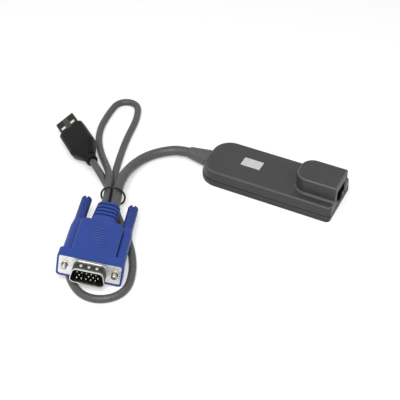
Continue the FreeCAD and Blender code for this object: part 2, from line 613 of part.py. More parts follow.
def video_hood():
    """The moulded hood: a collar round the plate, a raised grip between two screw tubes, and a relief."""
    body = new_body("video_hood")
    collar = across(body, "-dims.collar_front")
    mirrored(collar, "dims.collar_side", "dims.collar_high", "1.8")
    pad(collar, "dims.collar_front+dims.collar_back", back=True)
    grip = across(body, "dims.collar_back-1")
    rectangle(grip, "-dims.grip_side", "dims.grip_side", "-dims.grip_high", "dims.grip_high")
    pad(grip, "dims.grip_back-dims.collar_back+1", back=True)
    dress(body, "Fillet", "dims.grip_round", lambda e: runs_along(e, Z_WAY) and within(
        e, y=at(value("dims.grip_back"))))
    dress(body, "Fillet", "1.3", lambda e: e.BoundBox.YMin > value("dims.collar_back") - NEAR and (
        abs(abs(e.BoundBox.Center.z) - value("dims.grip_high")) < NEAR) and e.BoundBox.YMax > 6)
    for side in ("", "-"):
        turned = sketch_on(body, "XY_Plane", "0", f"{side}dims.tube_x")
        polygon(turned, [("0", "dims.collar_back-1"), ("dims.tube", "dims.collar_back-1"),
                         ("dims.tube", "dims.tube_back"), ("dims.tube_mouth", "dims.tube_end"),
                         ("0", "dims.tube_end")])
        revolve(turned)
    root = across(body, "dims.grip_back-1")
    mirrored(root, "dims.relief_side", "dims.relief_high", "4.6", "dims.entry_z")
    end = across(body, "dims.relief_back")
    mirrored(end, "dims.relief_end", "dims.relief_end_high", "3.9", "dims.entry_z")
    loft("AdditiveLoft", [root, end])
    for i in range(4):
        y = f"(dims.rib_first+{i}*dims.rib_pitch)"
        share = f"(({y}-dims.grip_back+1)/(dims.relief_back-dims.grip_back+1))"
        side = f"(dims.relief_side+(dims.relief_end-dims.relief_side)*{share}-dims.rib_deep)"
        high = f"(dims.relief_high+(dims.relief_end_high-dims.relief_high)*{share}-dims.rib_deep)"
        groove = across(body, y)
        rectangle(groove, "-9", "9", "-8", "8")
        mirrored(groove, side, high, "3.4", "dims.entry_z")
        pocket(groove, "dims.rib_gap")
    for x, y, radius in (("dims.entry_x", "dims.relief_back", "dims.video_lead+dims.lead_fit"),
                         ("-dims.entry_x", "dims.relief_back", "dims.usb_lead+dims.lead_fit")):
        entry = across(body, y)
        circle(entry, x, "dims.entry_z", radius)
        pocket(entry, "dims.entry_deep", back=True)
    seat = across(body, "-dims.collar_front")
    mirrored(seat, "dims.plate_side+0.05", "dims.plate_high+0.05", "dims.plate_round")
    pocket(seat, "dims.collar_front+dims.plate+dims.tub+0.15")
    cavity = across(body, "dims.plate")
    rectangle(cavity, "-dims.core_side-0.05", "dims.core_side+0.05", "-dims.core_high-0.05", "dims.core_high+0.05")
    pocket(cavity, "dims.core_back-dims.plate+0.05")
    for side in ("", "-"):
        channel = across(body, "-dims.collar_front")
        circle(channel, f"{side}dims.tube_x", "0", "dims.channel")
        pocket(channel, "dims.collar_front+dims.tube_end+1")
    return body


def shell_outline(sketch, inset):
    """The D outline: its wide side down, its two flanks leaning in by ten degrees."""
    lean = f"tan(dims.shell_lean*1 deg)"
    high = f"(dims.shell_high-{inset})"
    wide = f"(dims.shell_wide-{inset})"
    narrow = f"({wide}-2*{high}*{lean})"
    soft_polygon(sketch, [(minus(wide), minus(high)), (wide, minus(high)), (narrow, high),
                          (minus(narrow), high)], f"dims.shell_round-{inset}")


def plate_with_holes(body, y, thick):
    plate = across(body, y)
    mirrored(plate, "dims.plate_side", "dims.plate_high", "dims.plate_round")
    pad(plate, thick, back=True)
    for side in ("", "-"):
        hole = across(body, y)
        circle(hole, f"{side}dims.tube_x", "0", "dims.channel-0.1")
        pocket(hole, thick)


def video_front_shell():
    """A drawn steel plate with the D-shaped shell that the other half plugs over, and three dimples."""
    body = new_body("video_front_shell")
    plate_with_holes(body, "0", "dims.plate")
    outer = across(body, "0")
    shell_outline(outer, "0")
    pad(outer, "dims.shell_deep")
    dress(body, "Fillet", "0.5", lambda e: within(e, x=(-9.2, 9.2), y=at(0), z=(-4.7, 4.7)))
    inner = across(body, "-dims.shell_deep")
    shell_outline(inner, "dims.shell_wall")
    pocket(inner, "dims.shell_deep+dims.plate")
    for x in ("-3.9", "0", "3.9"):
        dimple = sketch_on(body, "XY_Plane", "dims.shell_high-0.1")
        circle(dimple, x, "-dims.shell_deep/2", "0.8")
        pad(dimple, "0.4")
    dress(body, "Fillet", "0.25", lambda e: within(e, y=(-5, -1), z=at(value("dims.shell_high") + 0.3)))
    return body


def video_rear_shell():
    """The rear plate, with a shallow tub round the insulator."""
    body = new_body("video_rear_shell")
    plate_with_holes(body, "dims.plate", "dims.tub")
    tub = across(body, "dims.plate+dims.tub/2")
    rectangle(tub, "-dims.core_side+0.1", "dims.core_side-0.1", "-dims.core_high+0.1", "dims.core_high-0.1")
    pad(tub, "dims.insulator_back-dims.plate-dims.tub/2", back=True)
    hollow = across(body, "dims.plate")
    rectangle(hollow, "-dims.core_side+0.5", "dims.core_side-0.5", "-dims.core_high+0.5", "dims.core_high-0.5")
    pocket(hollow, "dims.insulator_back")
    return body


PIN_ROWS = (("-dims.pin_pitch/4", 1), ("dims.pin_pitch/4", 0), ("-dims.pin_pitch/4", -1))
EMPTY_PIN = (1, 1)


def pin_places():
    """Three rows of five, the middle row half a pitch over and without its second pin."""
    for row, (shift, level) in enumerate(PIN_ROWS):
        for column in range(5):
            if (row, column) != EMPTY_PIN:
                yield f"({column - 2}*dims.pin_pitch+{shift})", f"{level}*dims.pin_row"


def video_insulator():
    body = new_body("video_insulator")
    front = across(body, "-0.4")
    shell_outline(front, "(dims.shell_wall+0.05)")
    pad(front, "dims.plate+0.4", back=True)
    rear = across(body, "dims.plate")
    rectangle(rear, "-dims.core_side+0.6", "dims.core_side-0.6", "-dims.core_high+0.6", "dims.core_high-0.6")
    pad(rear, "dims.insulator_back-dims.plate", back=True)
    holes = across(body, "-0.4")
    for x, z in pin_places():
        circle(holes, x, z, "dims.pin+0.03")
    pocket(holes, "dims.insulator_back+0.4")
    return body


def video_pins():
    front, back, radius = value("dims.pin_front"), value("dims.insulator_back"), value("dims.pin")
    tip = radius * 0.8
    pins = []
    for x, z in pin_places():
        shaft = Part.makeCylinder(radius, back - front - tip, Vector(value(x), front + tip, value(z)), Y_WAY)
        nose = Part.makeCone(radius * 0.5, radius, tip, Vector(value(x), front, value(z)), Y_WAY)
        pins.append(shaft.fuse(nose).removeSplitter())
    return feature_of("video_pins", Part.makeCompound(pins))


def video_inner_mould():
    body = new_body("video_inner_mould")
    block = across(body, "dims.insulator_back+0.05")
    mirrored(block, "dims.core_side", "dims.core_high", "1.2")
    pad(block, "dims.core_back-dims.insulator_back-0.05", back=True)
    return body


def screw_knob(label, side):
    """A long finger knob with a coin slot across its end and shallow flutes round it."""
    body = new_body(label)
    rod = across(body, "dims.knob_front")
    circle(rod, f"{side}dims.screw_x", "0", "dims.knob")
    pad(rod, "dims.knob_back-dims.knob_front", back=True)
    dress(body, "Chamfer", "0.5", lambda e: within(e, y=at(value("dims.knob_back"))))
    slot = across(body, "dims.knob_back")
    rectangle(slot, f"{side}dims.screw_x-dims.knob_slot/2", f"{side}dims.screw_x+dims.knob_slot/2", "-4", "4")
    pocket(slot, "dims.knob_slot_deep", back=True)
    bore = across(body, "dims.knob_front")
    circle(bore, f"{side}dims.screw_x", "0", "dims.screw_shaft+0.03")
    pocket(bore, "dims.screw_back-dims.knob_front+0.05")
    flutes = across(body, "dims.knob_back-0.5")
    for i in range(10):
        turn = f"{36 * i + 18} deg"
        circle(flutes, f"{side}dims.screw_x+(dims.knob+0.12)*cos({turn})", f"(dims.knob+0.12)*sin({turn})", "0.32")
    pocket(flutes, "11", back=True)
    return body


def plug_screw(label, side):
    """A screw whose threaded end stands in front of the plate, on a thinner shank."""
    body = new_body(label)
    turned = sketch_on(body, "XY_Plane", "0", f"{side}dims.screw_x")
    polygon(turned, [("0", "dims.screw_front"), ("dims.screw_thread-0.4", "dims.screw_front"),
                     ("dims.screw_thread", "dims.screw_front+0.4"), ("dims.screw_thread", "0"),
                     ("dims.screw_shaft", "0"), ("dims.screw_shaft", "dims.screw_back"),
                     ("0", "dims.screw_back")])
    revolve(turned)
    return body


# ---------------------------------------------------------------- the USB plug
def usb_overmould():
    """A flat moulded grip with rounded sides that narrows to a round neck."""
    body = new_body("usb_overmould")
    front = across(body, "0")
    mirrored(front, "dims.usb_side", "dims.usb_high", "dims.usb_round")
    pad(front, "dims.usb_body")
    shoulder = across(body, "-dims.usb_body")
    mirrored(shoulder, "dims.usb_side", "dims.usb_high", "dims.usb_round")
    waist = across(body, "-dims.usb_taper")
    mirrored(waist, "dims.usb_neck+0.4", "dims.usb_neck", "dims.usb_neck-0.1")
    loft("AdditiveLoft", [shoulder, waist])
    neck = across(body, "-dims.usb_taper+0.5")
    circle(neck, "0", "0", "dims.usb_neck")
    pad(neck, "dims.usb_back-dims.usb_taper+0.5")
    cavity = across(body, "0")
    mirrored(cavity, "dims.usb_shell_side+0.05", "dims.usb_shell_high+0.05", "0.5")
    pocket(cavity, "dims.usb_core", back=True)
    seat = across(body, "-dims.usb_back")
    circle(seat, "0", "0", "dims.usb_lead+dims.lead_fit")
    pocket(seat, "dims.usb_back-dims.usb_seat")
    return body


def usb_shell():
    """A rolled steel sleeve with two windows in each broad face."""
    body = new_body("usb_shell")
    outer = across(body, "-dims.usb_shell_in")
    mirrored(outer, "dims.usb_shell_side", "dims.usb_shell_high", "0.5")
    pad(outer, "dims.usb_shell_long+dims.usb_shell_in", back=True)
    inner = across(body, "-dims.usb_shell_in")
    mirrored(inner, "dims.usb_shell_side-dims.usb_shell_wall", "dims.usb_shell_high-dims.usb_shell_wall", "0.2")
    pocket(inner, "dims.usb_shell_long+dims.usb_shell_in")
    windows = sketch_on(body, "XY_Plane", "dims.usb_shell_high")
    for side in ("", "-"):
        rectangle(windows, f"{side}dims.window_x-dims.window_side", f"{side}dims.window_x+dims.window_side",
                  "dims.window_y-dims.window_long", "dims.window_y+dims.window_long")
    pocket(windows, "2*dims.usb_shell_high")
    return body


def usb_insulator():
    """The tongue behind the upper windows, on a block that fills the root of the shell."""
    body = new_body("usb_insulator")
    root = across(body, "-dims.usb_shell_in")
    rectangle(root, "-5.6", "5.6", "-1.85", "1.85")
    pad(root, "dims.usb_shell_in-1", back=True)
    tongue = across(body, "-2")
    rectangle(tongue, "-5.6", "5.6", "0.05", "1.85")
    pad(tongue, "13.3", back=True)
    return body


def usb_contacts():
    strips = []
    for x in (-3.5, -1.0, 1.0, 3.5):
        long = 8.6 if abs(x) > 2 else 7.6
        strips.append(Part.makeBox(1.1, long + 0.95, 0.25, Vector(x - 0.55, -0.95, -0.22)))
    return feature_of("usb_contacts", Part.makeCompound(strips))


def usb_inner_mould():
    body = new_body("usb_inner_mould")
    block = across(body, "-dims.usb_core+0.02")
    mirrored(block, "dims.usb_shell_side", "dims.usb_shell_high", "0.8")
    pad(block, "dims.usb_core-dims.usb_shell_in-0.05", back=True)
    return body


# ---------------------------------------------------------------- build, check, export
housing = [
    lower_cover(), upper_cover(), circuit_board(), network_jack(), jack_contacts(),
    chip("controller_chip", -9.0, -0.2, 5.0, 5.0, 1.5, 11, four_sides=True),
    chip("line_driver_chip", 2.3, 3.6, 3.4, 2.2, 1.4, 6),
    chip("memory_chip", 3.0, -5.2, 2.6, 2.0, 1.3, 4),
    crystal(), board_capacitors(), wire_header(), header_wires(), cover_screws(), housing_boot(),
]
leads = [
    lead("video_cable", VIDEO_ROUTE, value("dims.video_lead")),
    lead("usb_cable", USB_ROUTE, value("dims.usb_lead")),
    cable_tie(),
]
video_plug = [
    video_hood(), video_front_shell(), video_rear_shell(), video_insulator(), video_pins(), video_inner_mould(),
    screw_knob("left_screw_knob", "-"), screw_knob("right_screw_knob", ""),
    plug_screw("left_screw", "-"), plug_screw("right_screw", ""),
]
usb_plug = [usb_overmould(), usb_shell(), usb_insulator(), usb_contacts(), usb_inner_mould()]
for piece in video_plug:
    piece.Placement = plug_place("video")
for piece in usb_plug:
    piece.Placement = plug_place("usb")
doc.recompute()

for item in doc.Objects:
    if "Invalid" in item.State or "Error" in item.State:
        raise RuntimeError(f"{item.Label} failed: {item.State}")

os.makedirs("parts", exist_ok=True)
for piece in housing + leads + video_plug + usb_plug:
    if piece.Shape.isNull() or not piece.Shape.isValid():
        raise RuntimeError(f"{piece.Label} has no sound shape")
    piece.Shape.exportStep(f"parts/{piece.Label}.step")
    print(piece.Label, len(piece.Shape.Solids), f"{piece.Shape.Volume:.1f}")
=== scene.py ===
"""KVM dongle: a grey housing with a network jack, a video plug and a USB plug on two leads."""

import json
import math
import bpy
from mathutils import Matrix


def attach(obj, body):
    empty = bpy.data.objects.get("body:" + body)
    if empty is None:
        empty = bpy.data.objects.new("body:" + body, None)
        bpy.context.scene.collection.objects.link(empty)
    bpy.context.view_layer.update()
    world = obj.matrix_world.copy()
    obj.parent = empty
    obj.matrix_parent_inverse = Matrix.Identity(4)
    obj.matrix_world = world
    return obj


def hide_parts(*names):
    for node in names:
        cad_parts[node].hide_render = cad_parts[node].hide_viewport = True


bl_info = {
    "name": "KVM dongle",
    "version": (1, 0, 0),
    "blender": (4, 5, 0),
    "location": "3D View > Sidebar > Dongle",
    "description": "Dresses the packed dongle: leads, tie, plate, screw threads, finishes and stage",
    "category": "Object",
}

import bpy
from bpy.props import FloatProperty, FloatVectorProperty, IntProperty, PointerProperty
from mathutils import Matrix, Vector

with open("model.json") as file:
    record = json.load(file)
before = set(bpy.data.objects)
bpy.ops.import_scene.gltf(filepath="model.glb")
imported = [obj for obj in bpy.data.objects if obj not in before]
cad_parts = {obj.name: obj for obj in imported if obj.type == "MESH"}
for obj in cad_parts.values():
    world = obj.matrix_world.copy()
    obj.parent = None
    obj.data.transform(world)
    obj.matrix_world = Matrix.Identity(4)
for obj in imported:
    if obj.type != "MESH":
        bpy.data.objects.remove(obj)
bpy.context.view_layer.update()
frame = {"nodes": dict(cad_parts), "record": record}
MM = 0.001

# Places and sizes on the video plug, in the frame that video_place gives.
PLATE_BEHIND_MOUNTS = 1.0 * MM
# Depths and heights that bound the front shell's painted reflection and dimple highlights.
SHELL_DEPTHS = (1.0 * MM, -5.9 * MM)
DIMPLE_HEIGHTS = (4.64 * MM, 4.78 * MM)
SCREW_ACROSS = 12.4 * MM
THREADS_START = -1.75 * MM
THREAD_CORE = 1.41 * MM
RIDGES_AT = (0, 12.4 * MM, 6.86 * MM)
RIDGE_HALF_WIDTH = 0.42 * MM
RIDGE_HEIGHT = 0.34 * MM

# Places and sizes on the USB plug, in the frame that usb_place gives.
USB_SHELL_LONG = 12 * MM
USB_SHELL_WIDE = 12 * MM
USB_RIM = (11.6 * MM, 11.8 * MM)
NECK_RINGS_BACK = -31.6 * MM
NECK_RING_COUNT = 3
NECK_RING_PITCH = 1.3 * MM
NECK_RING_CORE = 3.08 * MM
NECK_RING_HEIGHT = 0.28 * MM

# The badge plate in its recess on the housing.
HOUSING_TOP = 9.1 * MM
BADGE_SUNK = 0.24 * MM
BADGE_PROUD = 0.08 * MM
BADGE_CORNER = 0.5 * MM
BADGE_CORNER_STEPS = 4
BADGE_EDGE = 0.09 * MM


# ---------------------------------------------------------------- sizes and colours
def tone(red, green, blue):
    """A screen colour in 0 to 255 as the linear colour that a shader takes."""
    def one(level):
        part = level / 255
        return part / 12.92 if part <= 0.04045 else ((part + 0.055) / 1.055) ** 2.4
    return (one(red), one(green), one(blue))


def colour(words, red, green, blue):
    return FloatVectorProperty(name=words, description=f"Colour of the {words.lower()}",
                               subtype="COLOR", size=3, min=0, max=1, default=tone(red, green, blue))


def length(words, about, millimetres):
    return FloatProperty(name=words, description=about, subtype="DISTANCE", unit="LENGTH",
                         default=millimetres * MM, precision=5)


def angle(words, about, degrees):
    return FloatProperty(name=words, description=about, subtype="ANGLE", unit="ROTATION",
                         default=math.radians(degrees))


def count(words, about, number):
    return IntProperty(name=words, description=about, default=number, min=1)


def amount(words, about, number, unit="NONE"):
    return FloatProperty(name=words, description=about, unit=unit, default=number, min=0)


class DongleColours(bpy.types.PropertyGroup):
    housing: colour("Housing", 60, 60, 61)
    jacket: colour("Lead jackets", 82, 83, 82)
    hood: colour("Video hood", 43, 69, 148)
    plug: colour("USB grip", 12, 12, 13)
    board: colour("Circuit board", 30, 92, 56)
    plate: colour("Badge plate", 236, 236, 234)
    steel: colour("Plated steel", 205, 203, 196)
    insulator: colour("Video insulator", 14, 14, 15)
    gold: colour("Contacts", 226, 190, 120)
    pin: colour("Video pins", 205, 202, 192)
    tie: colour("Cable tie", 40, 40, 41)


class DongleLeads(bpy.types.PropertyGroup):
    video_thick: length("Video lead", "Diameter of the lead from the housing to the video plug", 5.6)
    video_long: length("Video lead length", "Length of the lead to the video plug", 86.7)
    usb_thick: length("USB lead", "Diameter of the lead between the two plugs", 4.0)
    usb_long: length("USB lead length", "Length of the lead between the two plugs", 403.4)


class DongleTrim(bpy.types.PropertyGroup):
    badge_x: length("Badge place", "Middle of the badge plate along the housing", -11.9)
    badge_y: length("Badge offset", "Middle of the badge plate across the housing", 1.4)
    badge_long: length("Badge length", "Length of the badge plate", 11.4)
    badge_wide: length("Badge width", "Width of the badge plate", 6.8)
    usb_roll: angle("USB roll", "How far the USB plug is rolled about its length", -28.0)
    ridge_long: length("Ridge length", "Length of a finger ridge on the hood", 9.6)
    ridge_pitch: length("Ridge pitch", "Distance from one finger ridge to the next", 1.75)
    ridge_count: count("Ridges", "Finger ridges on the hood", 7)
    thread_pitch: length("Thread pitch", "Distance from one screw thread to the next", 0.635)
    thread_deep: length("Thread height", "How far a thread stands out of the shaft", 0.09)
    thread_count: count("Threads", "Threads on each screw's free end", 3)


class DongleStage(bpy.types.PropertyGroup):
    lens: amount("Lens", "Focal length of the camera in millimetres", 84.96)
    away: length("Camera distance", "Distance from the camera to its target", 510.04)
    turn: angle("Camera turn", "Turn of the camera round the dongle", 26.58)
    rise: angle("Camera rise", "Height of the camera over the floor as an angle", 41.457)
    target: FloatVectorProperty(name="Target", description="Point that the camera looks at",
                                subtype="XYZ", unit="LENGTH", default=(-0.028711, -0.029240, 0.0))
    key: amount("Key lamp", "Power of the large lamp above and on the camera's side", 5.6, "POWER")
    fill: amount("Fill lamp", "Power of the weak lamp on the left", 0.3, "POWER")
    sky: amount("Sky", "Brightness of the surrounding light", 0.35)


# ---------------------------------------------------------------- materials
# Painted shade in creases: the samples it takes and the range of it.
CREASE_SHADE_SAMPLES = 8
CREASE_SHADE_RANGE = (0.35, 0.97)
# Painted shoulder highlight: the slopes of the normal and how much of the highlight each takes.
HIGHLIGHT_SLOPES = (0.0, 0.33, 0.45, 0.9, 1.0)
NO_HIGHLIGHT, FULL_HIGHLIGHT = (0.0,) * 3, (1.0,) * 3
TRACK_SCALE = 170
TRACK_GAP = 0.06


class Finish:
    """A node material under construction, with its one surface shader."""

    def __init__(self, name):
        self.material = bpy.data.materials.new(name)
        self.material.use_nodes = True
        self.nodes = self.material.node_tree.nodes
        self.links = self.material.node_tree.links
        self.shader = self.nodes["Principled BSDF"]
        self.base = self.shader.inputs["Base Color"]
        around = self.nodes.new("ShaderNodeTexCoord")
        self.place, self.facing = around.outputs["Object"], around.outputs["Normal"]

    def set(self, **sockets):
        for name, setting in sockets.items():
            self.shader.inputs[name.replace("_", " ")].default_value = setting
        return self

    def stretch(self, x, y, z):
        """The object's coordinates drawn out along its axes."""
        mapping = self.nodes.new("ShaderNodeMapping")
        mapping.inputs["Scale"].default_value = (x, y, z)
        self.links.new(self.place, mapping.inputs["Vector"])
        return mapping.outputs["Vector"]

    def noise(self, size, detail=2.0, rough=0.5, place=None):
        node = self.nodes.new("ShaderNodeTexNoise")
        node.inputs["Scale"].default_value = 1 / size
        node.inputs["Detail"].default_value = detail
        node.inputs["Roughness"].default_value = rough
        self.links.new(place or self.place, node.inputs["Vector"])
        return node.outputs["Fac"]

    def spread(self, source, low, high, start=0.3, end=0.7):
        """The middle of a pattern's range, spread over another range."""
        node = self.nodes.new("ShaderNodeMapRange")
        limits = {"From Min": start, "From Max": end, "To Min": low, "To Max": high}
        for name, limit in limits.items():
            node.inputs[name].default_value = limit
        self.links.new(source, node.inputs["Value"])
        return node.outputs["Result"]

    def along(self, origin, direction):
        """How far each spot lies from a place, measured one way."""
        offset = self.nodes.new("ShaderNodeVectorMath")
        offset.operation = "SUBTRACT"
        offset.inputs[1].default_value = origin
        self.links.new(self.place, offset.inputs[0])
        part = self.nodes.new("ShaderNodeVectorMath")
        part.operation = "DOT_PRODUCT"
        part.inputs[1].default_value = direction
        self.links.new(offset.outputs["Vector"], part.inputs[0])
        return part.outputs["Value"]

    def ramp(self, source, *stops):
        """A colour that changes along a pattern, by stops that are each a place and a colour."""
        node = self.nodes.new("ShaderNodeValToRGB")
        marks = node.color_ramp.elements
        marks[0].position, marks[1].position = 0.0, 1.0
        marks[0].color, marks[1].color = (*stops[0][1], 1), (*stops[-1][1], 1)
        for spot, level in stops[1:-1]:
            marks.new(spot).color = (*level, 1)
        self.links.new(source, node.inputs["Fac"])
        return node.outputs["Color"]

    def blend(self, source, first, second, how="MIX"):
        """Two colours mixed by a pattern or an amount."""
        node = self.nodes.new("ShaderNodeMix")
        node.data_type, node.blend_type = "RGBA", how
        for name, given in (("Factor", source), ("A", first), ("B", second)):
            if isinstance(given, bpy.types.NodeSocket):
                self.links.new(given, node.inputs[name])
            else:
                node.inputs[name].default_value = given if name == "Factor" else (*given, 1)
        return node.outputs["Result"]

    def dimmed(self, colour_now, level):
        """A colour times a pattern that runs from 0 to 1."""
        grey = self.nodes.new("ShaderNodeCombineColor")
        for channel in grey.inputs:
            self.links.new(level, channel)
        return self.blend(1.0, colour_now, grey.outputs["Color"], "MULTIPLY")

    def stained(self, colour_now, size, least):
        """The base colour, with faint stains of this size in metres."""
        level = self.spread(self.noise(size, 4.0, 0.6), least, 1.0)
        self.links.new(self.dimmed(colour_now, level), self.base)
        return self

    def shade(self, source, dark, light):
        """A base colour that a pattern takes from dark to light."""
        self.links.new(self.blend(source, dark, light), self.base)
        return self

    def painted_crease_shade(self, size, least):
        """Painted shade: darker in creases, seams and where parts meet, within this size in metres."""
        near = self.nodes.new("ShaderNodeAmbientOcclusion")
        near.samples = CREASE_SHADE_SAMPLES
        near.inputs["Distance"].default_value = size
        level = self.spread(near.outputs["AO"], least, 1.0, *CREASE_SHADE_RANGE)
        self.links.new(self.dimmed(self.base.links[0].from_socket, level), self.base)
        return self

    def painted_shoulder_highlight(self, colour_now):
        """Painted highlight: paler on rounded shoulders, which face neither up nor sideways."""
        slope = self.nodes.new("ShaderNodeSeparateXYZ")
        self.links.new(self.facing, slope.inputs["Vector"])
        stops = zip(HIGHLIGHT_SLOPES, (NO_HIGHLIGHT, NO_HIGHLIGHT, FULL_HIGHLIGHT, FULL_HIGHLIGHT, NO_HIGHLIGHT))
        shoulder_highlight = self.ramp(slope.outputs["Z"], *stops)
        self.links.new(self.blend(shoulder_highlight, self.base.links[0].from_socket, colour_now), self.base)
        return self

    def roughness(self, source, low, high):
        self.links.new(self.spread(source, low, high), self.shader.inputs["Roughness"])
        return self

    def relief(self, source, height, strength=1.0):
        """Bumps of this height in metres, over any relief that is there already."""
        bump = self.nodes.new("ShaderNodeBump")
        bump.inputs["Strength"].default_value = strength
        bump.inputs["Distance"].default_value = height
        self.links.new(source, bump.inputs["Height"])
        socket = self.shader.inputs["Normal"]
        if socket.is_linked:
            self.links.new(socket.links[0].from_socket, bump.inputs["Normal"])
        self.links.new(bump.outputs["Normal"], socket)
        return self


def scaled(colour_now, share):
    """A colour made darker, or brighter where the share is over 1."""
    return tuple(part * share for part in colour_now)


def grained_plastic(name, colour_now, rough, grain, height, mottle=0.1, cloud=9.0, gloss=0.3,
                    dust_and_crease_shade=1.0, shoulder_highlight=0.0):
    """Moulded plastic with a fine spark-eroded grain and faint uneven gloss, sizes in millimetres, with
    a painted shade in creases and a painted highlight on shoulders where asked.
    """
    made = Finish(name).set(Specular_IOR_Level=gloss)
    clouds = made.spread(made.noise(cloud * MM, 3.0), 0, 1)
    fine = made.noise(grain * MM, 2.0, 0.6)
    made.shade(clouds, scaled(colour_now, 1 - mottle), scaled(colour_now, 1 + mottle))
    # painted highlight on the rounded shoulders
    if shoulder_highlight > 0:
        made.painted_shoulder_highlight(scaled(colour_now, shoulder_highlight))
    # painted shade in creases and seams
    if dust_and_crease_shade < 1:
        made.painted_crease_shade(1.2 * MM, dust_and_crease_shade)
    made.roughness(made.noise(cloud * 0.3 * MM, 3.0), rough - 0.05, rough + 0.06)
    made.relief(fine, height * MM)
    return made.material


def lead_jacket(name, colour_now):
    """Soft extruded jacket with faint dirt mottling, painted shade where it meets other parts, and
    shallow waves from the strands inside.
    """
    made = Finish(name).set(Specular_IOR_Level=0.45)
    dust_and_crease_shade = made.spread(made.noise(1.7 * MM, 4.0, 0.65), 0, 1)
    made.shade(dust_and_crease_shade, scaled(colour_now, 0.78), scaled(colour_now, 1.16))
    # painted shade in creases, where the leads meet other parts and near the floor
    made.painted_crease_shade(1.6 * MM, 0.35)
    made.roughness(made.noise(1.6 * MM, 3.0), 0.36, 0.5)
    made.relief(made.noise(2.4 * MM, 1.0), 0.05 * MM, 0.6)
    made.relief(made.noise(0.16 * MM, 2.0), 0.006 * MM, 0.6)
    return made.material


def plated_steel(name, colour_now, rough=0.24, drawn=(1, 1, 1)):
    """Nickel-plated sheet with fine drawing lines and faint stains."""
    made = Finish(name).set(Metallic=1.0)
    stain = made.spread(made.noise(2.6 * MM, 4.0, 0.65), 0, 1)
    made.shade(stain, scaled(colour_now, 0.86), colour_now)
    made.roughness(made.noise(0.9 * MM, 3.0), rough - 0.07, rough + 0.09)
    made.relief(made.noise(0.22 * MM, 3.0, 0.6, made.stretch(*drawn)), 0.004 * MM, 0.7)
    return made.material


def mating_face_painted_reflection(name, plate_now, shell_now):
    """Nickel with a painted reflection: bright on the plate, painted highlights on the rim and the
    dimples, and a painted dark reflection on the drawn shell between.
    """
    made = Finish(name).set(Metallic=1.0)
    place = video_place()
    back, rise = (place.col[axis].to_3d() for axis in (1, 2))
    depth = made.spread(made.along(place.translation, back), 0, 1, *SHELL_DEPTHS)
    # painted reflection: the drawn shell darker than the plate and the rim
    body = made.ramp(depth, (0.0, plate_now), (0.155, plate_now), (0.19, scaled(shell_now, 0.3)),
                     (0.5, scaled(shell_now, 0.13)), (0.86, scaled(shell_now, 0.22)),
                     (0.93, plate_now), (1.0, plate_now))
    # painted highlight on the dimples
    dimple_highlight = made.spread(made.along(place.translation, rise), 0, 1, *DIMPLE_HEIGHTS)
    made.stained(made.blend(dimple_highlight, body, plate_now), 2.2 * MM, 0.86)
    made.roughness(made.noise(0.9 * MM, 3.0), 0.34, 0.5)
    made.relief(made.noise(0.22 * MM, 3.0, 0.6), 0.002 * MM, 0.6)
    return made.material


def rolled_shell(name, steel_now):
    """Dark nickel on rolled sheet: a paler strip with a black seam in it, and a bright front rim."""
    made = Finish(name).set(Metallic=1.0)
    place, half = usb_place(), USB_SHELL_WIDE / 2
    side, front = (place.col[axis].to_3d() for axis in (0, 1))
    across = made.spread(made.along(place.translation, side), 0, 1, -half, half)
    pale, seam = scaled(steel_now, 2.6), scaled(steel_now, 0.1)
    body = made.ramp(across, (0.0, steel_now), (0.36, steel_now), (0.4, pale), (0.485, pale),
                     (0.495, seam), (0.505, seam), (0.515, pale), (0.6, pale), (0.64, steel_now),
                     (1.0, steel_now))
    rim = made.spread(made.along(place.translation, front), 0, 1, *USB_RIM)
    made.stained(made.blend(rim, body, scaled(steel_now, 5.0)), 1.8 * MM, 0.8)
    made.roughness(made.noise(0.9 * MM, 3.0), 0.2, 0.36)
    made.relief(made.noise(0.22 * MM, 3.0, 0.6), 0.003 * MM, 0.6)
    return made.material


def polished_contact(name, colour_now):
    """Smooth plating, a little dulled where it rubs."""
    made = Finish(name).set(Metallic=1.0)
    wear = made.spread(made.noise(0.5 * MM, 3.0), 0, 1)
    made.shade(wear, scaled(colour_now, 0.82), colour_now)
    made.roughness(made.noise(0.3 * MM), 0.16, 0.3)
    return made.material


def solder_mask(name, colour_now):
    """Green lacquer over copper: the tracks lie under it as low, straight-edged steps."""
    made = Finish(name).set(Specular_IOR_Level=0.5)
    tracks = made.nodes.new("ShaderNodeTexBrick")
    tracks.inputs["Scale"].default_value = TRACK_SCALE
    tracks.inputs["Mortar Size"].default_value = TRACK_GAP
    made.links.new(made.place, tracks.inputs["Vector"])
    made.shade(made.spread(tracks.outputs["Fac"], 0, 1, 0, 1), colour_now, scaled(colour_now, 1.5))
    made.roughness(made.noise(2 * MM), 0.26, 0.4)
    made.relief(tracks.outputs["Fac"], 0.02 * MM, 0.6)
    return made.material


CHIP_BLACK = (0.011, 0.011, 0.012)
CREAM = (0.8, 0.79, 0.75)
CERAMIC = (0.4, 0.28, 0.16)
WIRE_RED = (0.3, 0.03, 0.02)

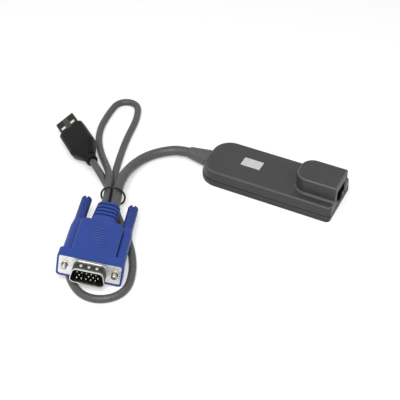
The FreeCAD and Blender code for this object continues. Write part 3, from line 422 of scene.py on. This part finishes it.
# For each grained finish: a name in DongleColours or a fixed colour, the share of it, and the grain,
# with the amounts of painted crease shade and painted shoulder highlight.
PLASTICS = {
    "housing_plastic": ("housing", 1, dict(rough=0.42, grain=0.28, height=0.025, mottle=0.09,
                                           gloss=0.4, dust_and_crease_shade=0.35, shoulder_highlight=2.4)),
    "tray_plastic": ("housing", 0.9, dict(rough=0.46, grain=0.28, height=0.025, mottle=0.09,
                                          gloss=0.3, dust_and_crease_shade=0.12)),
    "hood_plastic": ("hood", 1, dict(rough=0.4, grain=0.24, height=0.02, mottle=0.08, dust_and_crease_shade=0.45)),
    "knob_plastic": ("hood", 0.8, dict(rough=0.4, grain=0.24, height=0.02, mottle=0.08, dust_and_crease_shade=0.45)),
    "grip_rubber": ("plug", 1, dict(rough=0.46, grain=0.55, height=0.09, mottle=0.45, cloud=1.6,
                                    gloss=0.18, dust_and_crease_shade=0.4)),
    "part_plastic": (CHIP_BLACK, 1, dict(rough=0.4, grain=0.2, height=0.01, mottle=0.12, cloud=3)),
    "insulator_plastic": ("insulator", 1, dict(rough=0.36, grain=0.15, height=0.006, mottle=0.12,
                                               cloud=3)),
    "pale_plastic": (CREAM, 1, dict(rough=0.45, grain=0.2, height=0.008, mottle=0.05, cloud=3)),
    "cap_ceramic": (CERAMIC, 1, dict(rough=0.55, grain=0.12, height=0.01, mottle=0.15, cloud=1)),
    "wire_skin": (WIRE_RED, 1, dict(rough=0.4, grain=0.2, height=0.006, mottle=0.1, cloud=2)),
    "tie_plastic": ("tie", 1, dict(rough=0.35, grain=0.2, height=0.008, mottle=0.1, cloud=2)),
}
FINISHED = {}


def make_finish(name):
    colours = bpy.context.scene.dongle_colours
    if name in PLASTICS:
        source, share, grain = PLASTICS[name]
        plain = getattr(colours, source) if isinstance(source, str) else source
        return grained_plastic(name, scaled(plain, share), **grain)
    makers = {
        "lead_jacket": lambda: lead_jacket(name, colours.jacket),
        "boot_rubber": lambda: lead_jacket(name, scaled(colours.jacket, 1.15)),
        "plate_metal": lambda: plated_steel(name, scaled(colours.plate, 0.93), 0.4, (1, 14, 1)),
        "shell_steel": lambda: plated_steel(name, colours.steel, 0.24, (1, 1, 8)),
        "mating_steel": lambda: mating_face_painted_reflection(name, colours.plate, colours.steel),
        "usb_steel": lambda: rolled_shell(name, scaled(colours.steel, 0.075)),
        "screw_steel": lambda: plated_steel(name, scaled(colours.steel, 0.9), 0.3),
        "contact_gold": lambda: polished_contact(name, colours.gold),
        "pin_metal": lambda: polished_contact(name, colours.pin),
        "board_mask": lambda: solder_mask(name, colours.board),
    }
    return makers[name]()


def finish(name):
    """The named finish, made once."""
    if name not in FINISHED:
        FINISHED[name] = make_finish(name)
    return FINISHED[name]


def dress(names, finish_name):
    """Gives CAD nodes a finish."""
    for name in names:
        mesh = frame["nodes"][name].data
        mesh.materials.clear()
        mesh.materials.append(finish(finish_name))


# ---------------------------------------------------------------- places of the plugs
def mount(name):
    return next(item for item in frame["record"]["mounts"] if item["name"] == name)


def video_place():
    """The video plug's frame, from the middle of its plate: x from screw to screw, y back, z up."""
    left, right = (Vector(mount(f"{side}_plug_screw")["pos_m"]) for side in ("left", "right"))
    back = -Vector(mount("left_plug_screw")["axis"])
    across = (right - left).normalized()
    middle = (left + right) / 2 + back * PLATE_BEHIND_MOUNTS
    turn = Matrix((across, back, across.cross(back))).transposed()
    return Matrix.Translation(middle) @ turn.to_4x4()


def usb_place():
    """The USB plug's frame, from the root of its shell: x across, y forward, z up."""
    forward = Vector(mount("usb_plug")["axis"])
    level = forward.cross(Vector((0, 0, 1))).normalized()
    across = Matrix.Rotation(bpy.context.scene.dongle_trim.usb_roll, 3, forward) @ level
    turn = Matrix((across, forward, across.cross(forward))).transposed()
    root = Vector(mount("usb_plug")["pos_m"]) - forward * USB_SHELL_LONG
    return Matrix.Translation(root) @ turn.to_4x4()


def to_mesh(source, name):
    """A plain mesh object of what an object's modifiers make, at the world's origin."""
    graph = bpy.context.evaluated_depsgraph_get()
    mesh = bpy.data.meshes.new_from_object(source.evaluated_get(graph))
    made = bpy.data.objects.new(name, mesh)
    bpy.context.scene.collection.objects.link(made)
    bpy.data.objects.remove(source)
    return made


def clothe(piece, body, finish_name=None):
    """Puts a piece on a body, and gives it a finish where one is named."""
    if finish_name:
        piece.data.materials.clear()
        piece.data.materials.append(finish(finish_name))
    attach(piece, body)
    return piece


# ---------------------------------------------------------------- node trees for what repeats
class Tree:
    """A geometry node tree under construction."""

    def __init__(self, name, **inputs):
        self.tree = bpy.data.node_groups.new(name, "GeometryNodeTree")
        self.sockets = {}
        for label, kind in inputs.items():
            socket = self.tree.interface.new_socket(label.replace("_", " "), in_out="INPUT",
                                                    socket_type=f"NodeSocket{kind}")
            self.sockets[label] = socket.identifier
        self.tree.interface.new_socket("Geometry", in_out="OUTPUT",
                                       socket_type="NodeSocketGeometry")
        self.given = self.tree.nodes.new("NodeGroupInput")
        self.result = self.tree.nodes.new("NodeGroupOutput")

    def value(self, label):
        return self.given.outputs[label.replace("_", " ")]

    def add(self, kind, settings=None, **links):
        node = self.tree.nodes.new(kind)
        for name, setting in (settings or {}).items():
            setattr(node, name, setting)
        for name, source in links.items():
            socket = node.inputs[name.replace("_", " ")]
            if isinstance(source, bpy.types.NodeSocket):
                self.tree.links.new(source, socket)
            else:
                socket.default_value = source
        return node

    def maths(self, operation, first, second):
        node = self.tree.nodes.new("ShaderNodeMath")
        node.operation = operation
        for socket, source in zip(node.inputs, (first, second)):
            if isinstance(source, bpy.types.NodeSocket):
                self.tree.links.new(source, socket)
            else:
                socket.default_value = source
        return node.outputs[0]

    def rows(self, piece):
        """Copies of a piece, one Pitch apart along the y axis, made real and given the finish."""
        step = self.add("ShaderNodeCombineXYZ", Y=self.value("Pitch"))
        line = self.add("GeometryNodeMeshLine", Count=self.value("Count"), Offset=step.outputs[0])
        copies = self.add("GeometryNodeInstanceOnPoints", Points=line.outputs["Mesh"], Instance=piece)
        return self.finish(copies.outputs["Instances"])

    def finish(self, geometry):
        real = self.add("GeometryNodeRealizeInstances", Geometry=geometry)
        coat = self.add("GeometryNodeSetMaterial", Geometry=real.outputs[0],
                        Material=self.value("Finish"))
        self.tree.links.new(coat.outputs[0], self.result.inputs[0])
        return self

    def grow(self, name, **amounts):
        """A plain mesh object made by the tree with these inputs."""
        holder = bpy.data.objects.new(name + "_holder", bpy.data.meshes.new(name))
        bpy.context.scene.collection.objects.link(holder)
        modifier = holder.modifiers.new("grow", "NODES")
        modifier.node_group = self.tree
        for label, given in amounts.items():
            modifier[self.sockets[label]] = given
        return to_mesh(holder, name)


RING_SIDES = 28
RING_SHARE_OF_PITCH = 0.9
WELD = 0.001 * MM
BAR_STEPS = 15
BAR_SIDES = 14
BAR_FULLNESS = 1.08
BAR_END_POWER = 9.0


def thread_tree(name="screw_threads"):
    """Closed rings along the y axis, each a ridge that is widest at its middle."""
    tree = Tree(name, Count="Int", Pitch="Float", Shaft="Float", Height="Float", Finish="Material")
    inner = tree.value("Shaft")
    outer = tree.maths("ADD", inner, tree.value("Height"))
    half = tree.maths("MULTIPLY", tree.value("Pitch"), RING_SHARE_OF_PITCH / 2)
    whole = tree.maths("MULTIPLY", half, 2.0)
    bands = tree.add("GeometryNodeJoinGeometry")
    for top, bottom, depth, shift in ((outer, inner, half, -1.0), (inner, outer, half, 0.0),
                                      (inner, inner, whole, -1.0)):
        band = tree.add("GeometryNodeMeshCone", {"fill_type": "NONE"}, Vertices=RING_SIDES,
                        Radius_Top=top, Radius_Bottom=bottom, Depth=depth)
        if depth is whole:
            band = tree.add("GeometryNodeFlipFaces", Mesh=band.outputs["Mesh"])
        rise = tree.add("ShaderNodeCombineXYZ", Z=tree.maths("MULTIPLY", half, shift))
        move = tree.add("GeometryNodeTransform", Geometry=band.outputs["Mesh"],
                        Translation=rise.outputs[0])
        tree.tree.links.new(move.outputs[0], bands.inputs[0])
    ring = tree.add("GeometryNodeMergeByDistance", Geometry=bands.outputs[0], Distance=WELD)
    turned = tree.add("GeometryNodeTransform", Geometry=ring.outputs[0],
                      Rotation=(math.pi / 2, 0, 0))
    return tree.rows(turned.outputs[0])


def ridge_tree():
    """Rows of low rounded bars along the y axis, each across it and with softened ends."""
    tree = Tree("finger_ridges", Count="Int", Pitch="Float", Half_Length="Float",
                Half_Width="Float", Height="Float", Finish="Material")
    reach = tree.value("Half_Length")
    left = tree.add("ShaderNodeCombineXYZ", X=tree.maths("MULTIPLY", reach, -1.0))
    right = tree.add("ShaderNodeCombineXYZ", X=reach)
    bar = tree.add("GeometryNodeCurvePrimitiveLine", Start=left.outputs[0], End=right.outputs[0])
    bar = tree.add("GeometryNodeResampleCurve", Curve=bar.outputs[0], Count=BAR_STEPS)
    along = tree.add("GeometryNodeSplineParameter").outputs["Factor"]
    signed = tree.maths("SUBTRACT", tree.maths("MULTIPLY", along, 2.0), 1.0)
    off_middle = tree.maths("ABSOLUTE", signed, 0.0)
    full = tree.maths("SUBTRACT", BAR_FULLNESS, tree.maths("POWER", off_middle, BAR_END_POWER))
    swell = tree.add("GeometryNodeSetCurveRadius", Curve=bar.outputs[0], Radius=full)
    section = tree.add("GeometryNodeCurvePrimitiveCircle", Resolution=BAR_SIDES, Radius=1.0)
    rod = tree.add("GeometryNodeCurveToMesh", Curve=swell.outputs[0],
                   Profile_Curve=section.outputs[0], Scale=full, Fill_Caps=True)
    squash = tree.add("ShaderNodeCombineXYZ", X=1.0, Y=tree.value("Half_Width"),
                      Z=tree.value("Height"))
    flat = tree.add("GeometryNodeTransform", Geometry=rod.outputs[0], Scale=squash.outputs[0])
    return tree.rows(flat.outputs[0])


# ---------------------------------------------------------------- leads
STRAND_STEPS = 12
STRAND_ROUNDNESS = 6

# The routes' points in millimetres, as part.py has them.
VIDEO_ROUTE = (
    (-44.0, 0.0, 4.55), (-54.8, 0.0, 4.55), (-64.2, -4.8, 3.5), (-70.7, -13.4, 3.5), (-72.7, -24.7, 4.8),
    (-71.5, -37.0, 7.2), (-68.0, -48.6, 9.05), (-63.258, -58.805, 8.417), (-60.726, -66.074, 8.618),
)
USB_ROUTE = (
    (-65.677, -67.775, 9.447), (-68.142, -60.695, 9.251), (-72.9, -49.8, 8.6), (-78.2, -40.4, 8.1),
    (-86.1, -31.4, 5.4), (-95.0, -21.9, 2.7), (-103.3, -11.5, 2.03), (-108.5, -0.6, 2.03),
    (-110.7, 9.7, 2.03), (-111.8, 17.6, 2.03), (-112.1, 23.9, 2.03), (-110.2, 27.8, 2.03),
    (-106.6, 29.9, 2.03), (-102.4, 29.8, 2.03), (-98.9, 27.4, 2.03), (-95.8, 21.6, 2.03),
    (-92.8, 12.8, 2.03), (-90.5, 1.6, 2.03), (-87.5, -9.7, 2.03), (-83.8, -21.2, 2.03),
    (-79.9, -32.2, 2.1), (-74.9, -41.3, 2.6), (-68.7, -48.4, 3.5), (-64.1, -59.0, 3.5),
    (-57.7, -65.2, 2.3), (-50.8, -71.4, 2.03), (-43.9, -78.5, 2.03), (-38.0, -86.2, 2.03),
    (-33.3, -94.5, 2.03), (-30.1, -104.3, 2.03), (-32.0, -112.0, 2.03), (-38.5, -117.7, 2.03),
    (-46.7, -118.9, 2.03), (-54.3, -115.6, 2.03), (-61.1, -109.7, 2.03), (-65.3, -100.5, 2.03),
    (-68.0, -90.3, 2.03), (-68.7, -79.9, 2.03), (-67.8, -70.1, 2.6), (-68.2, -60.5, 4.1),
    (-72.8, -49.4, 4.35), (-79.1, -43.5, 4.25), (-87.403, -39.02, 8.565), (-93.699, -34.102, 8.146),
)


def strand(name, points, thick):
    """A round strand along the smooth curve that millimetre control points give."""
    curve = bpy.data.curves.new(name, "CURVE")
    curve.dimensions = "3D"
    curve.resolution_u = STRAND_STEPS
    curve.bevel_depth = thick / 2
    curve.bevel_resolution = STRAND_ROUNDNESS
    curve.use_fill_caps = True
    spline = curve.splines.new("NURBS")
    spline.points.add(len(points) - 1)
    for place, point in zip(spline.points, points):
        place.co = (*(part * MM for part in point), 1)
    spline.order_u = 3
    spline.use_endpoint_u = True
    made = bpy.data.objects.new(name, curve)
    bpy.context.scene.collection.objects.link(made)
    return made


def nodes_on(lead):
    """The CAD nodes named after a lead's plug, without the lead's own."""
    nodes = frame["nodes"]
    return [nodes[name] for name in sorted(nodes)
            if name.startswith(f"{lead}_") and name != f"{lead}_cable"]


# ---------------------------------------------------------------- operators
SENSOR_WIDTH = 36
CLIP = (0.01, 20)
LAMPS = {"key": ((0.16, -0.42, 0.74), 0.45), "fill": ((-0.6, -0.3, 0.5), 0.5)}
FLOOR_REACH = 3.0
FLOOR_GLOW = 0.42
PAPER = ((0.72, 0.72, 0.72), (0.74, 0.74, 0.74))
BEYOND_WHITE = 1.0


class DONGLE_OT_stage(bpy.types.Operator):
    """Set up the floor, the light and the camera"""
    bl_idname = "dongle.stage"
    bl_label = "Stage"

    def execute(self, context):
        scene, sizes = context.scene, context.scene.dongle_stage
        scene.view_settings.view_transform = "Standard"
        target = Vector(sizes.target)
        back = Vector((math.sin(sizes.turn) * math.cos(sizes.rise),
                       -math.cos(sizes.turn) * math.cos(sizes.rise), math.sin(sizes.rise)))
        camera = bpy.data.objects.new("camera", bpy.data.cameras.new("camera"))
        camera.data.lens = sizes.lens
        camera.data.sensor_width = SENSOR_WIDTH
        camera.data.clip_start, camera.data.clip_end = CLIP
        camera.location = target + back * sizes.away
        camera.rotation_euler = (-back).to_track_quat("-Z", "Y").to_euler()
        scene.collection.objects.link(camera)
        scene.camera = camera
        self.floor(scene)
        self.sky(scene, sizes.sky)
        for name, (spot, size) in LAMPS.items():
            self.lamp(scene, name, Vector(spot) + target, target, getattr(sizes, name), size)
        return {"FINISHED"}

    @staticmethod
    def lamp(scene, name, spot, target, power, size):
        lamp = bpy.data.objects.new(name, bpy.data.lights.new(name, "AREA"))
        lamp.data.energy, lamp.data.size = power, size
        lamp.location = spot
        lamp.rotation_euler = (target - spot).to_track_quat("-Z", "Y").to_euler()
        scene.collection.objects.link(lamp)

    @staticmethod
    def seen(tree):
        """1 for what is seen straight, in gloss or through glass, and 0 for light on the piece."""
        path = tree.nodes.new("ShaderNodeLightPath")
        so_far = path.outputs["Is Camera Ray"]
        for name in ("Is Glossy Ray", "Is Transmission Ray"):
            either = tree.nodes.new("ShaderNodeMath")
            either.operation = "MAXIMUM"
            tree.links.new(so_far, either.inputs[0])
            tree.links.new(path.outputs[name], either.inputs[1])
            so_far = either.outputs[0]
        return so_far

    @staticmethod
    def floor(scene):
        mesh = bpy.data.meshes.new("floor")
        corners = ((-1, -1), (1, -1), (1, 1), (-1, 1))
        mesh.from_pydata([(x * FLOOR_REACH, y * FLOOR_REACH, 0) for x, y in corners], [],
                         [(0, 1, 2, 3)])
        floor = bpy.data.objects.new("floor", mesh)
        scene.collection.objects.link(floor)
        paper = Finish("pale_paper").set(Roughness=0.9, Specular_IOR_Level=0.1)
        paper.shade(paper.noise(0.4 * MM), *PAPER)
        tree = paper.material.node_tree
        seen = DONGLE_OT_stage.seen(tree)
        glow = tree.nodes.new("ShaderNodeEmission")
        glow.inputs["Strength"].default_value = FLOOR_GLOW
        both = tree.nodes.new("ShaderNodeAddShader")
        mix = tree.nodes.new("ShaderNodeMixShader")
        tree.links.new(paper.shader.outputs[0], both.inputs[0])
        tree.links.new(glow.outputs[0], both.inputs[1])
        tree.links.new(seen, mix.inputs[0])
        tree.links.new(paper.shader.outputs[0], mix.inputs[1])
        tree.links.new(both.outputs[0], mix.inputs[2])
        tree.links.new(mix.outputs[0], tree.nodes["Material Output"].inputs["Surface"])
        mesh.materials.append(paper.material)

    @staticmethod
    def sky(scene, strength):
        world = bpy.data.worlds.new("studio")
        world.use_nodes = True
        scene.world = world
        tree = world.node_tree
        soft = tree.nodes["Background"]
        soft.inputs["Color"].default_value = (1, 1, 1, 1)
        soft.inputs["Strength"].default_value = strength
        white = tree.nodes.new("ShaderNodeBackground")
        white.inputs["Strength"].default_value = BEYOND_WHITE
        seen = DONGLE_OT_stage.seen(tree)
        mix = tree.nodes.new("ShaderNodeMixShader")
        tree.links.new(seen, mix.inputs[0])
        tree.links.new(soft.outputs[0], mix.inputs[1])
        tree.links.new(white.outputs[0], mix.inputs[2])
        tree.links.new(mix.outputs[0], tree.nodes["World Output"].inputs["Surface"])


class DONGLE_OT_housing(bpy.types.Operator):
    """Finish the housing, its boot, jack and board, and lay the bare badge plate in its recess"""
    bl_idname = "dongle.housing"
    bl_label = "Housing"

    def execute(self, context):
        dress(["upper_cover"], "housing_plastic")
        dress(["lower_cover"], "tray_plastic")
        dress(["housing_boot"], "boot_rubber")
        dress(["cover_screws", "crystal"], "screw_steel")
        dress(["network_jack", "controller_chip", "line_driver_chip", "memory_chip"],
              "part_plastic")
        dress(["jack_contacts"], "contact_gold")
        dress(["circuit_board"], "board_mask")
        dress(["board_capacitors"], "cap_ceramic")
        dress(["wire_header"], "pale_plastic")
        dress(["header_wires"], "wire_skin")
        self.badge(context.scene.dongle_trim)
        return {"FINISHED"}

    @staticmethod
    def badge(sizes):
        """A thin plate with softened corners and edges."""
        inner_x = sizes.badge_long / 2 - BADGE_CORNER
        inner_y = sizes.badge_wide / 2 - BADGE_CORNER
        ring = []
        for sign_x, sign_y, start in ((1, 1, 0), (-1, 1, 90), (-1, -1, 180), (1, -1, 270)):
            for step in range(BADGE_CORNER_STEPS + 1):
                turn = math.radians(start + step * 90 / BADGE_CORNER_STEPS)
                ring.append((sizes.badge_x + sign_x * inner_x + BADGE_CORNER * math.cos(turn),
                             sizes.badge_y + sign_y * inner_y + BADGE_CORNER * math.sin(turn)))
        size = len(ring)
        levels = (HOUSING_TOP - BADGE_SUNK, HOUSING_TOP + BADGE_PROUD)
        points = [(x, y, z) for z in levels for x, y in ring]
        faces = [tuple(reversed(range(size))), tuple(range(size, 2 * size))]
        faces += [(i, (i + 1) % size, size + (i + 1) % size, size + i) for i in range(size)]
        mesh = bpy.data.meshes.new("badge_plate")
        mesh.from_pydata(points, [], faces)
        source = bpy.data.objects.new("badge_source", mesh)
        bpy.context.scene.collection.objects.link(source)
        bevel = source.modifiers.new("edge", "BEVEL")
        bevel.width, bevel.segments = BADGE_EDGE, 3
        clothe(to_mesh(source, "badge_plate"), "dongle", "plate_metal")


class DONGLE_OT_leads(bpy.types.Operator):
    """Lay the two leads, and finish the tie that holds the folded one"""
    bl_idname = "dongle.leads"
    bl_label = "Leads and tie"

    def execute(self, context):
        sizes = context.scene.dongle_leads
        nodes = frame["nodes"]
        on_lead = nodes_on("video") + [nodes["housing_boot"], "hood_ridges"]
        for side in ("left", "right"):
            on_lead += [nodes[f"{side}_screw"], nodes[f"{side}_screw_knob"],
                        f"{side}_screw_threads"]
        video = strand("video_lead", VIDEO_ROUTE, sizes.video_thick)
        clothe(video, "dongle", "lead_jacket")
        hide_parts("video_cable")
        dress(["cable_tie"], "tie_plastic")
        on_lead = nodes_on("usb") + [nodes["cable_tie"], "usb_neck_rings"]
        usb = strand("usb_lead", USB_ROUTE, sizes.usb_thick)
        clothe(usb, "dongle", "lead_jacket")
        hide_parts("usb_cable")
        return {"FINISHED"}


class DONGLE_OT_video_plug(bpy.types.Operator):
    """Finish the video plug, and add its screws' threads and its hood's finger ridges"""
    bl_idname = "dongle.video_plug"
    bl_label = "Video plug"

    def execute(self, context):
        dress(["video_hood"], "hood_plastic")
        dress(["left_screw_knob", "right_screw_knob"], "knob_plastic")
        dress(["video_front_shell"], "mating_steel")
        dress(["video_rear_shell"], "shell_steel")
        dress(["left_screw", "right_screw"], "screw_steel")
        dress(["video_insulator"], "insulator_plastic")
        dress(["video_pins"], "pin_metal")
        dress(["video_inner_mould"], "pale_plastic")
        sizes = context.scene.dongle_trim
        threads = thread_tree()
        for side, x in (("left", -SCREW_ACROSS), ("right", SCREW_ACROSS)):
            made = threads.grow(f"{side}_screw_threads", Count=sizes.thread_count,
                                Pitch=sizes.thread_pitch, Shaft=THREAD_CORE,
                                Height=sizes.thread_deep, Finish=finish("screw_steel"))
            made.data.transform(video_place() @ Matrix.Translation((x, THREADS_START, 0)))
            clothe(made, f"{side}_thumbscrew")
        made = ridge_tree().grow("hood_ridges", Count=sizes.ridge_count, Pitch=sizes.ridge_pitch,
                                 Half_Length=sizes.ridge_long / 2, Half_Width=RIDGE_HALF_WIDTH,
                                 Height=RIDGE_HEIGHT, Finish=finish("hood_plastic"))
        made.data.transform(video_place() @ Matrix.Translation(RIDGES_AT))
        clothe(made, "dongle")
        return {"FINISHED"}


class DONGLE_OT_usb_plug(bpy.types.Operator):
    """Finish the USB plug, and add the rings on its neck"""
    bl_idname = "dongle.usb_plug"
    bl_label = "USB plug"

    def execute(self, context):
        dress(["usb_overmould"], "grip_rubber")
        dress(["usb_shell"], "usb_steel")
        dress(["usb_insulator", "usb_inner_mould"], "pale_plastic")
        dress(["usb_contacts"], "contact_gold")
        made = thread_tree("neck_rings").grow(
            "usb_neck_rings", Count=NECK_RING_COUNT, Pitch=NECK_RING_PITCH, Shaft=NECK_RING_CORE,
            Height=NECK_RING_HEIGHT, Finish=finish("grip_rubber"))
        made.data.transform(usb_place() @ Matrix.Translation((0, NECK_RINGS_BACK, 0)))
        clothe(made, "dongle")
        return {"FINISHED"}


class DONGLE_PT_panel(bpy.types.Panel):
    """Lists the steps that dress the dongle, in the order in which they run"""
    bl_idname = "DONGLE_PT_panel"
    bl_label = "KVM dongle"
    bl_space_type = "VIEW_3D"
    bl_region_type = "UI"
    bl_category = "Dongle"

    def draw(self, context):
        for operator in OPERATORS:
            self.layout.operator(operator.bl_idname)


GROUPS = {"dongle_colours": DongleColours, "dongle_leads": DongleLeads, "dongle_trim": DongleTrim,
          "dongle_stage": DongleStage}
OPERATORS = (DONGLE_OT_stage, DONGLE_OT_housing, DONGLE_OT_video_plug, DONGLE_OT_usb_plug,
             DONGLE_OT_leads)


def register():
    for cls in (*GROUPS.values(), *OPERATORS, DONGLE_PT_panel):
        bpy.utils.register_class(cls)
    for name, cls in GROUPS.items():
        setattr(bpy.types.Scene, name, PointerProperty(type=cls))


def unregister():
    for name in GROUPS:
        delattr(bpy.types.Scene, name)
    for cls in reversed((*GROUPS.values(), *OPERATORS, DONGLE_PT_panel)):
        bpy.utils.unregister_class(cls)


def main():
    register()
    bpy.ops.dongle.stage()
    bpy.ops.dongle.housing()
    bpy.ops.dongle.video_plug()
    bpy.ops.dongle.usb_plug()
    bpy.ops.dongle.leads()


if __name__ == "__main__":
    main()
